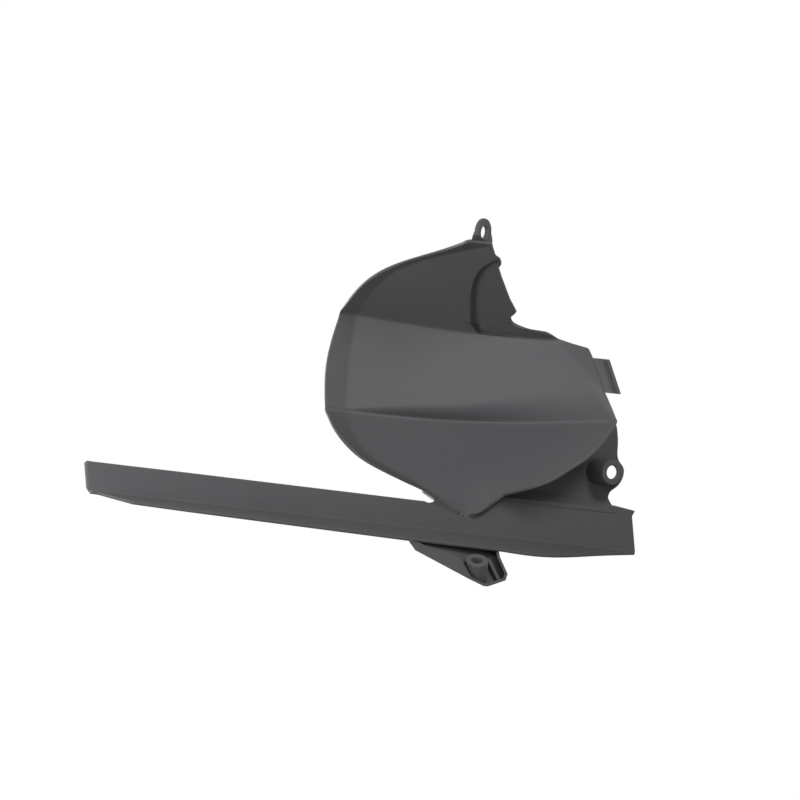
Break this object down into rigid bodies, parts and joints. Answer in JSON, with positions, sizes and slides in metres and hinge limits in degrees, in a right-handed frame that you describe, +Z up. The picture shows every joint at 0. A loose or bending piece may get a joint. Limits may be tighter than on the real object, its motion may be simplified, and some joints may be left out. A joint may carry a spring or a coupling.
{
  "type": "rear hugger mudguard",
  "caption": "Moulded plastic mudguard that hugs a motorcycle's rear tyre, with creased arch, turned-in lip, chain guard arm, fixing bosses, tab and hose clip.",
  "frame": {"origin": "centre of the front boss at the face that seats on the swingarm", "axes": "+X forward along the bike, +Y to the bike's left, +Z up along the front boss"},
  "size_m": [0.5263, 0.2743, 0.1838],
  "materials": {
    "black_plastic": "unpainted black polypropylene with a fine moulded grain"
  },
  "bodies": {
    "root": {"mudguard": "black_plastic"}
  },
  "joints": []
}
